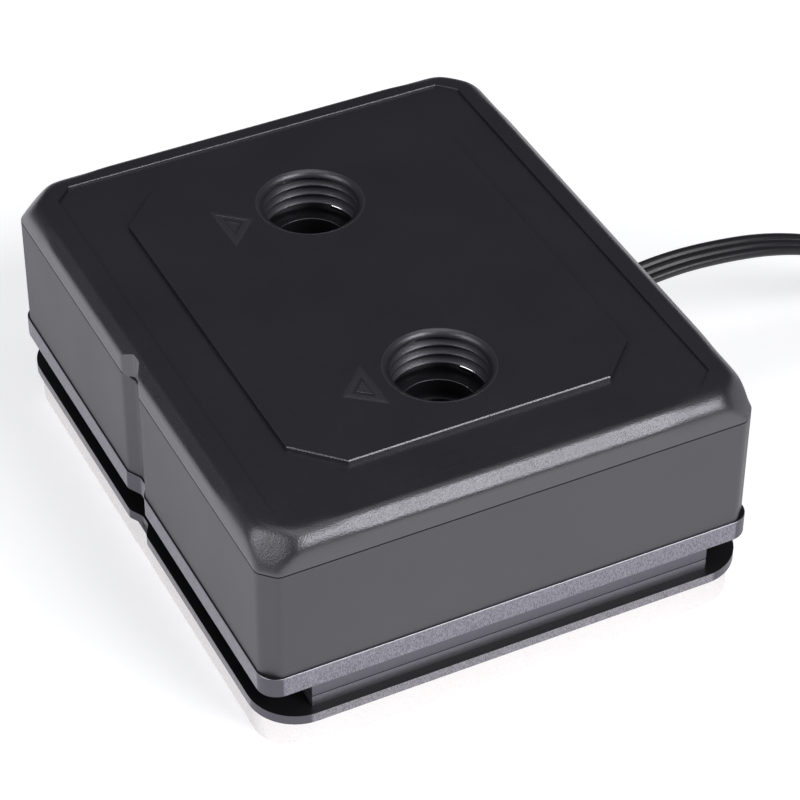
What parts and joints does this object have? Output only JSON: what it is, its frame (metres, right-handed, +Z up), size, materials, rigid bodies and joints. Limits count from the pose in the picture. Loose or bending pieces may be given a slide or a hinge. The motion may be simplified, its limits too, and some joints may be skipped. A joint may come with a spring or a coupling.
{
  "type": "liquid cooling cold plate",
  "caption": "Low rectangular cooling block with threaded ports on top, a built-in pump, a stepped base with side slots, a bare metal contact plate and a flat cable.",
  "frame": {"origin": "the middle of the block's contact face, on the floor", "axes": "+Z up, +Y along the long side from the outlet port to the inlet port, +X to the side that the cable leaves"},
  "size_m": [0.1504, 0.0913, 0.0316],
  "materials": {
    "cover_anodised": "satin anodised charcoal",
    "body_anodised": "satin anodised grey",
    "plate_edge": "black top face, sanded edge",
    "spacer_metal": "milled",
    "flange_plate": "black coated, sanded edge",
    "nickel_plate": "satin nickel plate on copper",
    "pump_plastic": "moulded",
    "magnet": "sintered ferrite",
    "carbon_bush": "pressed carbon",
    "ceramic": "ground ceramic",
    "steel": "zinc plated",
    "seal_rubber": "moulded rubber",
    "lamination": "stacked laminations",
    "copper_wire": "enamelled wire",
    "circuit_board": "solder mask",
    "chip_plastic": "moulded",
    "gland_rubber": "moulded rubber",
    "cable_sheath": "extruded sheath",
    "plug_plastic": "moulded",
    "tin_plate": "tin plated"
  },
  "bodies": {
    "block": {"top_cover": "cover_anodised", "port_seals": "seal_rubber", "housing_body": "body_anodised", "perimeter_seals": "seal_rubber", "upper_plate": "plate_edge", "flow_plate": "spacer_metal", "jet_plate": "spacer_metal", "lower_plate": "flange_plate", "cold_plate": "nickel_plate", "thrust_washer": "ceramic", "shaft_retainer": "steel", "pump_shaft": "ceramic", "separation_can": "pump_plastic", "can_seal": "seal_rubber", "stator_core": "lamination", "stator_coils": "copper_wire", "driver_board": "circuit_board", "board_components": "chip_plastic", "board_screws": "steel", "long_screws": "steel", "short_screws": "steel", "cable_grommet": "gland_rubber", "cable_lead": "cable_sheath", "ribbon_cable": "cable_sheath", "cable_coil": "cable_sheath", "cable_tail": "cable_sheath", "plug_housing": "plug_plastic", "plug_contacts": "tin_plate"},
    "rotor": {"impeller": "pump_plastic", "rotor_magnet": "magnet", "bearing_bush": "carbon_bush"}
  },
  "joints": [
    {"name": "impeller_spin", "type": "hinge", "parent": "block", "child": "rotor", "pos_m": [0, 0, 0.014], "axis": [0, 0, 1], "continuous": true}
  ]
}
